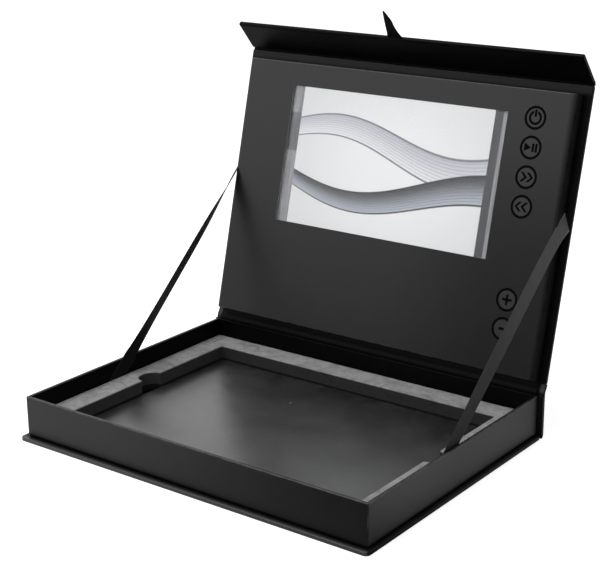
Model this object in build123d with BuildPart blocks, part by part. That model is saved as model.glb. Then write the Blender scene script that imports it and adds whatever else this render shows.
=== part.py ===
from build123d import *
import os
from math import cos, radians, sin

# A video presentation box: a board tray on a book style case, with a screen panel inside the lid.
# Sizes are in millimetres. The origin is on the base board's underside, under the middle of the tray,
# with X to the right, Y to the back and Z up. The lid is open and leans back on its two ribbons.

# Tray and case
tray_width = 238.0
tray_depth = 172.5
tray_height = 24.0
wall = 2.0
tray_corner = 1.0
tray_top_edge = 0.5
tray_foot_edge = 1.4
case_board = 2.3
case_edge = 0.5
base_corner = 3.0
lid_corner = 1.0
side_overhang = 2.6
front_overhang = 4.2
paper = 0.4
spine_gap = 0.7

# Foam insert and what lies in it
foam_height = 11.1
foam_clear = 0.5
foam_side = 15.9
foam_end = 16.45
cavity_corner = 1.0
notch_radius = 8.6
notch_set_in = 1.2
pad_height = 2.1
pad_clear = 0.8

# Lid hinge, lid and flap
open_angle = 104.4
hinge_set_back = 1.1
hinge_rise = 0.3
lid_gap = 6.1
crease_clear = 3.8
crease_gap = 0.7
flap_foot_clear = 1.4
flap_fold = 55.0
liner = 0.25
liner_inset = 1.2

# Magnets that hold the flap shut
magnet_diameter = 8.0
magnet_height = 1.2
magnet_clear = 0.1
magnet_spacing = 120.0
magnet_drop = 17.0

# Screen panel inside the lid. Its margins leave a window of 154.2 by 85.9, as a common 7 inch screen has
panel_start = 7.2
panel_side_clear = 1.0
panel_front_clear = 0.5
panel_depth = 6.5
front_board = 1.5
panel_edge = 0.6
rail_width = 6.0
window_left_margin = 36.0
window_right_margin = 41.8
window_top_margin = 14.45
window_bottom_margin = 63.55

# Screen module
screen_depth = 3.5
screen_side_border = 5.4
screen_top_border = 5.5
screen_bottom_border = 8.6
screen_rim = 1.5
screen_pan = 0.5
light_guide_depth = 1.5
glass_recess = 0.1
glass_clear = 0.2
film = 0.25
film_lap = 2.0
film_clear = 0.05
tape = 1.2
tape_width = 12.0

# Buttons down the right of the panel
button_inset = 24.0
button_pitch = 17.0
button_top_margin = 16.1
volume_bottom_margin = 25.8
cap_diameter = 13.0
cap_clear = 0.35
flange_lap = 0.9
flange_height = 0.6
flange_clear = 0.2
button_travel = 0.35
icon_depth = 0.2
icon_size = 8.0
icon_line = 1.2
icon_gap = 0.8
plus_size = 6.0
minus_size = 4.6
switch_width = 6.0
switch_height = 1.8
switch_floor = 0.4
stem_diameter = 3.2
stem_clear = 0.15
button_board_width = 14.0
button_board_margin = 7.0
button_tape = 0.6
circuit_board = 1.0

# Electronics below the screen
board_clear = 0.5
board_width = 90.0
board_height = 40.0
board_bottom_margin = 5.0
tongue_width = 12.0
tongue_length = 5.0
rail_web = 0.8
processor_width = 12.0
processor_height = 1.2
memory_width = 8.0
memory_length = 12.0
memory_height = 1.0
socket_width = 7.6
socket_length = 5.6
socket_height = 2.6
socket_wall = 0.45
socket_set_in = 0.3
flex_width = 25.0
flex = 0.3
flex_lap = 4.0
battery_height = 38.0
battery_depth = 4.0
battery_edge = 1.0
battery_gap = 11.5
battery_lead_rise = 9.5
speaker_diameter = 24.0
speaker_gap = 3.5
speaker_magnet_diameter = 14.0
speaker_magnet_height = 2.0
speaker_plate = 0.6
speaker_rim = 1.3
speaker_rim_height = 2.0
cone_sheet = 0.3
cone_neck = 3.4
cone_surround = 2.1
wire = 1.1
wire_gap = 0.3
wire_bend = 4.0
wire_lap = 5.0
wire_lift = 0.05

# Ribbons and pull tab
ribbon_width = 10.0
ribbon = 0.35
ribbon_seat = 0.025
ribbon_leg = 26.0
ribbon_foot_left = -1.0
ribbon_foot_right = -6.0
ribbon_anchor_left = 105.0
ribbon_anchor_right = 99.5
ribbon_anchor_length = 10.0
ribbon_anchor_in = 0.4
ribbon_anchor_out = 5.0
ribbon_lift = 0.45
ribbon_twist_power = 1.6
ribbon_stations = 10
tab_offset = -2.3
tab_width = 10.1
tab_tip_width = 7.6
tab_length = 20.0
tab_lean = 1.0
tab_curl = 1.1
tab_twist = -24.4
tab_sheet = 0.8
tab_stations = 6

# Levels and outlines that follow from these
tray_half = tray_width / 2
tray_front = -tray_depth / 2
tray_back = tray_depth / 2
inner_half = tray_half - wall
inner_depth = tray_depth - 2 * wall
tray_top = case_board + tray_height
floor_top = case_board + wall
case_half = tray_half + side_overhang
base_front = tray_front - front_overhang
spine_back = tray_back + case_board
spine_top = tray_top - spine_gap
cavity_width = 2 * (inner_half - foam_side)
cavity_depth = inner_depth - 2 * foam_end

hinge_y = tray_back + hinge_set_back
hinge_z = tray_top + hinge_rise
lid_reach = hinge_y - tray_front + crease_clear
lid_end = lid_reach - crease_gap
flap_length = hinge_z - case_board - flap_foot_clear
lid_plane = Plane(
    origin=(0, hinge_y, hinge_z),
    x_dir=(1, 0, 0),
    z_dir=(0, -sin(radians(open_angle)), -cos(radians(open_angle))),
)
flap_tilt = radians(open_angle - flap_fold)
crease = lid_plane.from_local_coords((0, lid_reach, 0))
flap_plane = Plane(origin=crease, x_dir=(1, 0, 0), z_dir=(0, -sin(flap_tilt), -cos(flap_tilt)))

panel_half = inner_half - panel_side_clear
panel_end = hinge_y - tray_front - wall - panel_front_clear
rail_depth = panel_depth - front_board
window_width = 2 * panel_half - window_left_margin - window_right_margin
window_shift = (window_left_margin - window_right_margin) / 2
window_top = panel_end - window_top_margin
window_bottom = panel_start + window_bottom_margin
window_height = window_top - window_bottom
window_middle = (window_top + window_bottom) / 2
screen_top = window_top + screen_top_border
screen_bottom = window_bottom - screen_bottom_border
screen_middle = (screen_top + screen_bottom) / 2
screen_width = window_width + 2 * screen_side_border
screen_height = screen_top - screen_bottom
screen_face = tape + screen_depth
board_left = -panel_half + rail_width + board_clear
board_right = board_left + board_width
board_bottom = panel_start + rail_width + board_bottom_margin
board_middle = board_bottom + board_height / 2
board_face = tape + circuit_board

button_x = panel_half - button_inset
button_names = ["power", "play_pause", "next", "previous", "volume_up", "volume_down"]
playback_places = [panel_end - button_top_margin - i * button_pitch for i in range(4)]
volume_places = [panel_start + volume_bottom_margin + i * button_pitch for i in (1, 0)]
button_places = dict(zip(button_names, playback_places + volume_places))
button_board_face = button_tape + circuit_board
cap_flange_base = rail_depth - flange_clear - flange_height
button_board_top = playback_places[0] + button_board_margin
button_board_bottom = volume_places[1] - button_board_margin


def patch(plane, x, y, width, length, corner=0.0):
    """A rectangle lying on a plane, centred on x and y, with round corners where a radius is given."""
    with BuildSketch(plane) as outline:
        with Locations((x, y)):
            if corner:
                RectangleRounded(width, length, corner)
            else:
                Rectangle(width, length)
    return outline.sketch


def disc(plane, x, y, diameter):
    """A circle lying on a plane, centred on x and y."""
    with BuildSketch(plane) as outline:
        with Locations((x, y)):
            Circle(diameter / 2)
    return outline.sketch


def sheet_edge(points, thickness):
    """A sheet seen edge on in the YZ plane: the line through the points, thickened to its left."""
    with BuildSketch(Plane.YZ) as section:
        with BuildLine():
            line = Polyline(*points)
            offset(line, amount=thickness, side=Side.LEFT)
        make_face()
    return section.sketch


def side_point(plane, length, height):
    """Y and Z of a point given along and above a tilted plane, for sections across the box."""
    point = plane.from_local_coords((0, length, height))
    return (point.Y, point.Z)


# Base board, spine and the paper that turns the corner between them
with BuildPart() as base_board:
    base_depth = tray_back - base_front
    base_middle = (tray_back + base_front) / 2
    extrude(patch(Plane.XY, 0, base_middle, 2 * case_half, base_depth, base_corner), amount=case_board)
    fillet(base_board.edges().filter_by(GeomType.LINE).group_by(Axis.Z)[0], case_edge)
    fillet(base_board.edges().group_by(Axis.Z)[-1], case_edge)

with BuildPart() as spine_board:
    spine_height = spine_top - case_board
    spine_middle = (spine_top + case_board) / 2
    spine_plane = Plane.XZ.offset(-tray_back)
    extrude(patch(spine_plane, 0, spine_middle, 2 * case_half, spine_height), amount=-case_board)

with BuildPart() as base_fold_paper:
    with BuildSketch(Plane.YZ):
        with BuildLine():
            outer = CenterArc((tray_back, case_board), case_board, -90, 90)
            inner = CenterArc((tray_back, case_board), case_board - paper, -90, 90)
            Line(outer @ 0, inner @ 0)
            Line(outer @ 1, inner @ 1)
        make_face()
    extrude(amount=case_half, both=True)


# Tray: a floor board inside four walls, mitred at the corners
tray_base = Plane.XY.offset(case_board)
wall_inside = Plane.XZ.offset(inner_depth / 2)
magnet_level = hinge_z - magnet_drop
pocket_diameter = magnet_diameter + 2 * magnet_clear


def wall_ring():
    """All four walls as one ring, with the soft edges of wrapped board."""
    with BuildPart() as ring:
        extrude(patch(tray_base, 0, 0, tray_width, tray_depth, tray_corner), amount=tray_height)
        fillet(ring.edges().group_by(Axis.Z)[0], tray_foot_edge)
        extrude(patch(tray_base, 0, 0, 2 * inner_half, inner_depth), amount=tray_height, mode=Mode.SUBTRACT)
        fillet(ring.faces().sort_by(Axis.Z)[-1].edges(), tray_top_edge)
    return ring.part


def wall_zone(side_x, side_y):
    """The part of the plan that one wall takes, out to the corners' 45 degree mitres."""
    reach = min(tray_half, tray_back)
    outer_x = tray_half + tray_corner
    outer_y = tray_back + tray_corner
    with BuildSketch(tray_base) as zone:
        with BuildLine():
            if side_y:
                far = side_y * outer_y
                near = side_y * (outer_y - reach)
                end = outer_x - reach
                Polyline((-outer_x, far), (outer_x, far), (end, near), (-end, near), close=True)
            else:
                far = side_x * outer_x
                near = side_x * (outer_x - reach)
                end = outer_y - reach
                Polyline((far, -outer_y), (far, outer_y), (near, end), (near, -end), close=True)
        make_face()
    return zone.sketch


with BuildPart() as tray_front_wall:
    add(wall_ring())
    extrude(wall_zone(0, -1), amount=tray_height, mode=Mode.INTERSECT)
    for side in (-1, 1):
        pocket = disc(wall_inside, side * magnet_spacing / 2, magnet_level, pocket_diameter)
        extrude(pocket, amount=magnet_height + magnet_clear, mode=Mode.SUBTRACT)

with BuildPart() as tray_back_wall:
    add(wall_ring())
    extrude(wall_zone(0, 1), amount=tray_height, mode=Mode.INTERSECT)

with BuildPart() as tray_left_wall:
    add(wall_ring())
    extrude(wall_zone(-1, 0), amount=tray_height, mode=Mode.INTERSECT)

with BuildPart() as tray_right_wall:
    add(wall_ring())
    extrude(wall_zone(1, 0), amount=tray_height, mode=Mode.INTERSECT)

with BuildPart() as tray_floor_board:
    extrude(patch(tray_base, 0, 0, 2 * inner_half, inner_depth), amount=wall)

with BuildPart() as tray_magnets:
    for side in (-1, 1):
        middle = side * magnet_spacing / 2
        face = disc(wall_inside.offset(magnet_clear), middle, magnet_level, magnet_diameter)
        extrude(face, amount=magnet_height)

# Foam insert with its cavity and two finger notches, and the smooth pad on the cavity's floor
with BuildPart() as foam_insert:
    foam_width = 2 * (inner_half - foam_clear)
    foam_length = inner_depth - 2 * foam_clear
    notch_x = cavity_width / 2 - notch_set_in
    with BuildSketch(Plane.XY.offset(floor_top)):
        Rectangle(foam_width, foam_length)
        RectangleRounded(cavity_width, cavity_depth, cavity_corner, mode=Mode.SUBTRACT)
        with Locations((-notch_x, 0), (notch_x, 0)):
            Circle(notch_radius, mode=Mode.SUBTRACT)
    extrude(amount=foam_height)

with BuildPart() as cavity_floor_pad:
    pad_width = cavity_width - 2 * pad_clear
    pad_length = cavity_depth - 2 * pad_clear
    extrude(patch(Plane.XY.offset(floor_top), 0, 0, pad_width, pad_length, cavity_corner), amount=pad_height)

# Hinge papers: an outer strip from spine to lid and an inner liner from tray wall to lid
with BuildPart() as lid_hinge_strip:
    strip_start = (spine_back, spine_top)
    strip_end = side_point(lid_plane, lid_gap, -case_board)
    strip_rise = (spine_back, spine_top + paper)
    strip_fall = side_point(lid_plane, lid_gap - paper, -case_board)
    extrude(sheet_edge([strip_start, strip_rise, strip_fall, strip_end], paper), amount=case_half, both=True)

with BuildPart() as lid_hinge_liner:
    liner_start = (tray_back - tray_top_edge, tray_top)
    liner_rise = (tray_back - tray_top_edge, tray_top + paper)
    liner_fall = side_point(lid_plane, lid_gap - paper, -paper)
    liner_end = side_point(lid_plane, lid_gap, -paper)
    extrude(sheet_edge([liner_start, liner_rise, liner_fall, liner_end], paper), amount=inner_half, both=True)

# Lid board, flap board and the papers over the crease between them
def round_board(board, plane):
    """Softens the edges of a board's inner and outer faces, as the paper wrapped round it does."""
    across = Axis(plane.origin, plane.z_dir)
    for end in (0, -1):
        fillet(board.faces().sort_by(across)[end].edges(), case_edge)


with BuildPart() as lid_board:
    lid_length = lid_end - lid_gap
    lid_middle = (lid_end + lid_gap) / 2
    lid_back = lid_plane.offset(-case_board)
    extrude(patch(lid_back, 0, lid_middle, 2 * case_half, lid_length, lid_corner), amount=case_board)
    round_board(lid_board, lid_plane)

with BuildPart() as flap_board:
    flap_board_length = flap_length - crease_gap
    flap_middle = (flap_length + crease_gap) / 2
    flap_back = flap_plane.offset(-case_board)
    extrude(patch(flap_back, 0, flap_middle, 2 * case_half, flap_board_length, lid_corner), amount=case_board)
    round_board(flap_board, flap_plane)
    for side in (-1, 1):
        pocket = disc(flap_plane, side * magnet_spacing / 2, magnet_drop, pocket_diameter)
        extrude(pocket, amount=-(magnet_height + magnet_clear), mode=Mode.SUBTRACT)

with BuildPart() as flap_magnets:
    for side in (-1, 1):
        middle = side * magnet_spacing / 2
        face = disc(flap_plane.offset(-magnet_clear), middle, magnet_drop, magnet_diameter)
        extrude(face, amount=-magnet_height)

with BuildPart() as flap_liner:
    liner_length = flap_board_length - 2 * liner_inset
    extrude(patch(flap_plane, 0, flap_middle, 2 * (case_half - liner_inset), liner_length), amount=liner)

with BuildPart() as crease_outer_paper:
    outer_points = [
        side_point(lid_plane, lid_end, -case_board),
        side_point(lid_plane, lid_end + paper, -case_board),
        side_point(flap_plane, crease_gap - paper, -case_board),
        side_point(flap_plane, crease_gap, -case_board),
    ]
    extrude(sheet_edge(outer_points, paper), amount=case_half - lid_corner, both=True)

with BuildPart() as crease_inner_paper:
    inner_height = -paper - case_edge
    inner_points = [
        side_point(lid_plane, lid_end, inner_height),
        side_point(lid_plane, lid_end + paper, inner_height),
        side_point(flap_plane, crease_gap - paper, inner_height),
        side_point(flap_plane, crease_gap, inner_height),
    ]
    extrude(sheet_edge(inner_points, paper), amount=case_half - lid_corner, both=True)


# Pull tab: a short ribbon from the flap's edge that turns, narrows and curls up
def ribbon_section(centre, across, along, width, thickness):
    """The cross section of a ribbon at a point, its width laid along one direction."""
    flat = along.cross(across).normalized()
    plane = Plane(origin=centre, x_dir=across.normalized(), z_dir=across.cross(flat).normalized())
    with BuildSketch(plane) as section:
        Rectangle(width, thickness)
    return section.sketch


def tab_sections():
    """Sections from the flap's edge to the tip: the width turns and narrows, the middle leans and curls."""
    out = flap_plane.y_dir
    up = -flap_plane.z_dir
    sections = []
    for i in range(tab_stations):
        share = i / (tab_stations - 1)
        turn = radians(tab_twist * share)
        across = Vector(cos(turn), 0, 0) + out.cross(Vector(1, 0, 0)) * sin(turn)
        reach = flap_length + tab_length * share
        middle = flap_plane.from_local_coords((tab_offset, reach, -case_board / 2))
        centre = middle + (Vector(tab_lean, 0, 0) + up * tab_curl) * share**2
        width = tab_width + (tab_tip_width - tab_width) * share
        sections.append(ribbon_section(centre, across, out, width, tab_sheet))
    return sections


with BuildPart() as pull_tab:
    loft(tab_sections(), ruled=True)


# Stay ribbons: flat on the tray's side wall at the foot, twisting to lie along the lid at the head
def stay_sections(side, foot_y, anchor):
    """Sections of one ribbon from its glued foot inside the wall, up past the rim and on to the lid."""
    rim = Vector(side * (inner_half - ribbon_seat - ribbon / 2), foot_y, tray_top)
    upper = lid_plane.from_local_coords(
        (side * (panel_half + ribbon_anchor_in), anchor + ribbon_anchor_length / 2, ribbon_lift)
    )
    lower = lid_plane.from_local_coords(
        (side * (panel_half + ribbon_anchor_out), anchor - ribbon_anchor_length / 2, ribbon_lift)
    )
    head = (upper + lower) / 2
    slope = Vector(0, head.Y - rim.Y, head.Z - rim.Z).normalized()
    flat_across = Vector(1, 0, 0).cross(slope) * ribbon_width
    head_across = upper - lower
    foot = rim + slope * ribbon_width
    run = head - foot
    sections = [ribbon_section(rim - slope * ribbon_leg, flat_across, slope, ribbon_width, ribbon)]
    for i in range(ribbon_stations + 1):
        share = i / ribbon_stations
        turned = share**ribbon_twist_power
        across = flat_across * (1 - turned) + head_across * turned
        sections.append(ribbon_section(foot + run * share, across, run, across.length, ribbon))
    return sections


with BuildPart() as ribbon_left:
    loft(stay_sections(-1, ribbon_foot_left, ribbon_anchor_left), ruled=True)

with BuildPart() as ribbon_right:
    loft(stay_sections(1, ribbon_foot_right, ribbon_anchor_right), ruled=True)

# Screen panel: a front board with a window and button holes, on four rails round the lid's inside
panel_length = panel_end - panel_start
panel_middle = (panel_end + panel_start) / 2
rail_middle = panel_half - rail_width / 2
cross_rail_width = 2 * (panel_half - rail_width)
lid_face = Axis(lid_plane.origin, lid_plane.z_dir)

with BuildPart() as panel_front_board:
    face = patch(lid_plane.offset(rail_depth), 0, panel_middle, 2 * panel_half, panel_length)
    extrude(face, amount=front_board)
    fillet(panel_front_board.faces().sort_by(lid_face)[-1].edges(), panel_edge)
    with BuildSketch(lid_plane.offset(rail_depth)):
        with Locations((window_shift, window_middle)):
            Rectangle(window_width, window_height)
        with Locations([(button_x, place) for place in button_places.values()]):
            Circle(cap_diameter / 2 + cap_clear)
    extrude(amount=front_board, mode=Mode.SUBTRACT)

with BuildPart() as panel_left_rail:
    extrude(patch(lid_plane, -rail_middle, panel_middle, rail_width, panel_length), amount=rail_depth)
    port_width = tongue_width + 2 * board_clear
    port = patch(lid_plane.offset(rail_web), -rail_middle, board_middle, rail_width, port_width)
    extrude(port, amount=rail_depth - rail_web, mode=Mode.SUBTRACT)

with BuildPart() as panel_right_rail:
    extrude(patch(lid_plane, rail_middle, panel_middle, rail_width, panel_length), amount=rail_depth)

with BuildPart() as panel_top_rail:
    place = panel_end - rail_width / 2
    extrude(patch(lid_plane, 0, place, cross_rail_width, rail_width), amount=rail_depth)

with BuildPart() as panel_bottom_rail:
    place = panel_start + rail_width / 2
    extrude(patch(lid_plane, 0, place, cross_rail_width, rail_width), amount=rail_depth)

# Screen module: metal pan, light guide, glass and a clear film, taped to the lid
pan_inner_width = screen_width - 2 * screen_rim
pan_inner_height = screen_height - 2 * screen_rim

with BuildPart() as screen_pan_frame:
    pan = patch(lid_plane.offset(tape), window_shift, screen_middle, screen_width, screen_height)
    extrude(pan, amount=screen_depth)
    recess_plane = lid_plane.offset(tape + screen_pan)
    recess = patch(recess_plane, window_shift, screen_middle, pan_inner_width, pan_inner_height)
    extrude(recess, amount=screen_depth - screen_pan, mode=Mode.SUBTRACT)

glass_base = tape + screen_pan + light_guide_depth
glass_width = pan_inner_width - 2 * glass_clear
glass_height = pan_inner_height - 2 * glass_clear

with BuildPart() as light_guide:
    guide_plane = lid_plane.offset(tape + screen_pan)
    guide = patch(guide_plane, window_shift, screen_middle, glass_width, glass_height)
    extrude(guide, amount=light_guide_depth)

with BuildPart() as screen_glass:
    glass_depth = screen_face - glass_recess - glass_base
    glass = patch(lid_plane.offset(glass_base), window_shift, screen_middle, glass_width, glass_height)
    extrude(glass, amount=glass_depth)

with BuildPart() as screen_film:
    film_plane = lid_plane.offset(screen_face)
    film_width = window_width + 2 * film_lap
    film_height = window_height + 2 * film_lap
    extrude(patch(film_plane, window_shift, window_middle, film_width, film_height), amount=film)

with BuildPart() as screen_tapes:
    for place in (screen_bottom + tape_width / 2, screen_top - tape_width / 2):
        extrude(patch(lid_plane, window_shift, place, screen_width - tape_width, tape_width), amount=tape)

# Main board with its chips and charging socket, on tape below the screen
with BuildPart() as main_board:
    with BuildSketch(lid_plane.offset(tape)):
        with Locations((board_left + board_width / 2, board_middle)):
            Rectangle(board_width, board_height)
        with Locations((board_left - tongue_length / 2, board_middle)):
            Rectangle(tongue_length, tongue_width)
    extrude(amount=circuit_board)

with BuildPart() as board_tapes:
    extrude(patch(lid_plane, board_left + board_width / 2, board_middle, board_width - tape_width,
                  board_height - tape_width), amount=tape)
    button_tape_length = button_board_top - button_board_bottom - tape_width
    button_tape_middle = (button_board_top + button_board_bottom) / 2
    extrude(patch(lid_plane, button_x, button_tape_middle, button_board_width / 2, button_tape_length),
            amount=button_tape)

with BuildPart() as processor_chip:
    chip_x = board_left + board_width / 2
    extrude(patch(lid_plane.offset(board_face), chip_x, board_middle, processor_width, processor_width),
            amount=processor_height)

with BuildPart() as memory_chip:
    memory_x = chip_x - processor_width / 2 - memory_length
    extrude(patch(lid_plane.offset(board_face), memory_x, board_middle, memory_length, memory_width),
            amount=memory_height)

with BuildPart() as charging_socket:
    socket_mouth = -panel_half + socket_set_in
    socket_middle = socket_mouth + socket_length / 2
    socket_bore_width = socket_width - 2 * socket_wall
    socket_bore_height = socket_height - 2 * socket_wall
    extrude(patch(lid_plane.offset(board_face), socket_middle, board_middle, socket_length, socket_width),
            amount=socket_height)
    bore = patch(lid_plane.offset(board_face + socket_wall), socket_middle - socket_wall, board_middle,
                 socket_length, socket_bore_width)
    extrude(bore, amount=socket_bore_height, mode=Mode.SUBTRACT)

with BuildPart() as screen_flex_cable:
    flex_end = board_bottom + board_height - flex_lap
    flex_x = board_right - flex_width
    extrude(patch(lid_plane.offset(board_face), flex_x, (screen_bottom + flex_end) / 2, flex_width,
                  screen_bottom - flex_end), amount=flex)

# Battery and its leads, between the main board and the speaker beside the button board
speaker_x = button_x - button_board_width / 2 - speaker_gap - speaker_diameter / 2
battery_left = board_right + battery_gap
battery_right = speaker_x - speaker_diameter / 2 - speaker_gap
battery_width = battery_right - battery_left
battery_middle = board_bottom + battery_height / 2

with BuildPart() as battery_cell:
    cell = patch(lid_plane, battery_left + battery_width / 2, battery_middle, battery_width, battery_height)
    extrude(cell, amount=battery_depth)
    fillet(battery_cell.edges().filter_by(Axis.X), battery_edge)


def lead(points):
    """A round wire laid flat above the circuit board, with a bend at each corner of its route."""
    level = lid_plane.offset(board_face + wire_lift + wire / 2)
    with BuildPart() as strand:
        with BuildLine(level) as route:
            FilletPolyline(*points, radius=wire_bend)
        end = route.line @ 0
        along = route.line % 0
        with BuildSketch(Plane(origin=end, z_dir=along)):
            Circle(wire / 2)
        sweep(path=route.line)
    return strand.part


wire_step = wire + wire_gap

with BuildPart() as battery_leads:
    for i in range(2):
        start_y = battery_middle + battery_lead_rise + i * wire_step
        jog_y = start_y + wire_bend / 2
        add(lead([
            (battery_left, start_y),
            (battery_left - battery_gap / 2, start_y),
            (board_right, jog_y),
            (board_right - wire_lap, jog_y),
        ]))

# Speaker and its leads, which run below the battery to the main board
speaker_plane = Plane(origin=lid_plane.from_local_coords((speaker_x, battery_middle, 0)), x_dir=(1, 0, 0),
                      z_dir=lid_plane.z_dir)
basket_base = speaker_magnet_height + speaker_plate

with BuildPart() as speaker_magnet:
    extrude(disc(speaker_plane, 0, 0, speaker_magnet_diameter), amount=speaker_magnet_height)

with BuildPart() as speaker_basket:
    extrude(disc(speaker_plane.offset(speaker_magnet_height), 0, 0, speaker_diameter), amount=speaker_plate)
    with BuildSketch(speaker_plane.offset(basket_base)):
        Circle(speaker_diameter / 2)
        Circle(speaker_diameter / 2 - speaker_rim, mode=Mode.SUBTRACT)
    extrude(amount=speaker_rim_height)

with BuildPart() as speaker_cone:
    cone_edge = speaker_diameter / 2 - speaker_rim - cone_sheet / 2
    cone_top = basket_base + speaker_rim_height - cone_sheet
    with BuildSketch(Plane(origin=speaker_plane.origin, x_dir=(1, 0, 0), z_dir=-speaker_plane.y_dir)):
        with BuildLine():
            Polyline(
                (0, basket_base),
                (cone_neck, basket_base),
                (cone_edge - cone_surround, cone_top - cone_sheet),
                (cone_edge, cone_top - cone_sheet),
                (cone_edge, cone_top),
                (cone_edge - cone_surround - cone_sheet, cone_top),
                (cone_neck - cone_sheet, basket_base + cone_sheet),
                (0, basket_base + cone_sheet),
                close=True,
            )
        make_face()
    revolve(axis=Axis(speaker_plane.origin, speaker_plane.z_dir))

with BuildPart() as speaker_leads:
    for i in range(2):
        lane = panel_start + rail_width + wire + i * wire_step
        start_x = speaker_x - i * wire_step
        finish_x = board_right - 2 * wire_lap + i * wire_step
        add(lead([
            (start_x, battery_middle - speaker_diameter / 2),
            (start_x, lane),
            (finish_x, lane),
            (finish_x, board_bottom + wire_lap),
        ]))

# Button board and its six switches
with BuildPart() as button_board:
    middle = (button_board_top + button_board_bottom) / 2
    extrude(patch(lid_plane.offset(button_tape), button_x, middle, button_board_width,
                  button_board_top - button_board_bottom), amount=circuit_board)

with BuildPart() as button_switches:
    for place in button_places.values():
        extrude(patch(lid_plane.offset(button_board_face), button_x, place, switch_width, switch_width),
                amount=switch_height)
        bore = disc(lid_plane.offset(button_board_face + switch_floor), button_x, place,
                    stem_diameter + 2 * stem_clear)
        extrude(bore, amount=switch_height - switch_floor, mode=Mode.SUBTRACT)


# Icons pressed into the button caps
def power_icon():
    """A ring, open at the top, with an upright bar in the opening."""
    Circle(icon_size / 2)
    Circle(icon_size / 2 - icon_line, mode=Mode.SUBTRACT)
    with Locations((0, icon_size / 2)):
        Rectangle(icon_line + 2 * icon_gap, icon_size / 2, mode=Mode.SUBTRACT)
    with Locations((0, icon_size / 3)):
        Rectangle(icon_line, icon_size / 2)


def play_pause_icon():
    """A triangle that points right and two upright bars beside it."""
    half = icon_size / 3.4
    Polygon((-icon_size / 2, -half), (0, 0), (-icon_size / 2, half), align=None)
    with Locations((icon_gap + icon_line / 2, 0), (2 * icon_gap + 1.5 * icon_line, 0)):
        Rectangle(icon_line, 2 * half)


def chevrons_icon(way):
    """Two open arrow heads in a row, which point right or left."""
    half = icon_size / 3
    for start in (-half, half / 2):
        Polygon(
            (way * (start - icon_line), half),
            (way * start, half),
            (way * (start + half), 0),
            (way * start, -half),
            (way * (start - icon_line), -half),
            (way * (start + half - icon_line), 0),
            align=None,
        )


def plus_icon():
    """Two crossed bars."""
    Rectangle(plus_size, icon_line)
    Rectangle(icon_line, plus_size)


def minus_icon():
    """One level bar."""
    Rectangle(minus_size, icon_line)


icons = {
    "power": power_icon,
    "play_pause": play_pause_icon,
    "next": lambda: chevrons_icon(1),
    "previous": lambda: chevrons_icon(-1),
    "volume_up": plus_icon,
    "volume_down": minus_icon,
}


def button_cap(name):
    """A round cap flush with the panel, held behind its hole by a flange, with its icon pressed in."""
    spot = lid_plane.from_local_coords((button_x, button_places[name], 0))
    place = Plane(origin=spot, x_dir=(1, 0, 0), z_dir=lid_plane.z_dir)
    with BuildPart() as cap:
        flange_diameter = cap_diameter + 2 * (cap_clear + flange_lap)
        extrude(disc(place.offset(cap_flange_base), 0, 0, flange_diameter), amount=flange_height)
        extrude(disc(place.offset(cap_flange_base), 0, 0, cap_diameter), amount=panel_depth - cap_flange_base)
        with BuildSketch(place.offset(panel_depth)) as mark:
            icons[name]()
        extrude(mark.sketch, amount=-icon_depth, mode=Mode.SUBTRACT)
    return cap


def button_stem(name):
    """The switch's plunger, from its bore in the switch up to the underside of the cap."""
    stem_base = button_board_face + switch_floor + button_travel + film_clear
    with BuildPart() as stem:
        extrude(disc(lid_plane.offset(stem_base), button_x, button_places[name], stem_diameter),
                amount=cap_flange_base - stem_base)
    return stem


pieces = {
    "base_board": base_board,
    "spine_board": spine_board,
    "base_fold_paper": base_fold_paper,
    "tray_front_wall": tray_front_wall,
    "tray_back_wall": tray_back_wall,
    "tray_left_wall": tray_left_wall,
    "tray_right_wall": tray_right_wall,
    "tray_floor_board": tray_floor_board,
    "tray_magnets": tray_magnets,
    "foam_insert": foam_insert,
    "cavity_floor_pad": cavity_floor_pad,
    "lid_hinge_strip": lid_hinge_strip,
    "lid_hinge_liner": lid_hinge_liner,
    "ribbon_left": ribbon_left,
    "ribbon_right": ribbon_right,
    "lid_board": lid_board,
    "crease_outer_paper": crease_outer_paper,
    "crease_inner_paper": crease_inner_paper,
    "flap_board": flap_board,
    "flap_magnets": flap_magnets,
    "flap_liner": flap_liner,
    "pull_tab": pull_tab,
    "panel_front_board": panel_front_board,
    "panel_left_rail": panel_left_rail,
    "panel_right_rail": panel_right_rail,
    "panel_top_rail": panel_top_rail,
    "panel_bottom_rail": panel_bottom_rail,
    "screen_pan_frame": screen_pan_frame,
    "light_guide": light_guide,
    "screen_glass": screen_glass,
    "screen_film": screen_film,
    "screen_tapes": screen_tapes,
    "screen_flex_cable": screen_flex_cable,
    "main_board": main_board,
    "board_tapes": board_tapes,
    "processor_chip": processor_chip,
    "memory_chip": memory_chip,
    "charging_socket": charging_socket,
    "battery_cell": battery_cell,
    "battery_leads": battery_leads,
    "speaker_magnet": speaker_magnet,
    "speaker_basket": speaker_basket,
    "speaker_cone": speaker_cone,
    "speaker_leads": speaker_leads,
    "button_board": button_board,
    "button_switches": button_switches,
}
for button in button_names:
    pieces[f"{button}_cap"] = button_cap(button)
    pieces[f"{button}_stem"] = button_stem(button)

os.makedirs("parts", exist_ok=True)
for name, piece in pieces.items():
    piece.part.label = name
    export_step(piece.part, f"parts/{name}.step")
print(len(pieces), "pieces")
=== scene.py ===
# %% [markdown]
# This lesson dresses a presentation box: a shallow tray on a book style case, with a screen and six
# round buttons inside its lid. The hard parts, such as boards, walls and buttons, come from the
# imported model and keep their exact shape. What Blender adds is what a solid can't show: paper that
# bends at the folds, woven ribbon, cut foam, and a finish for every surface. Everything is in
# metres, with the origin under the middle of the tray, X to the right, Y to the back and Z up.

import bpy
import numpy as np
from math import cos, pi, radians, sin
from mathutils import Matrix, Vector


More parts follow.
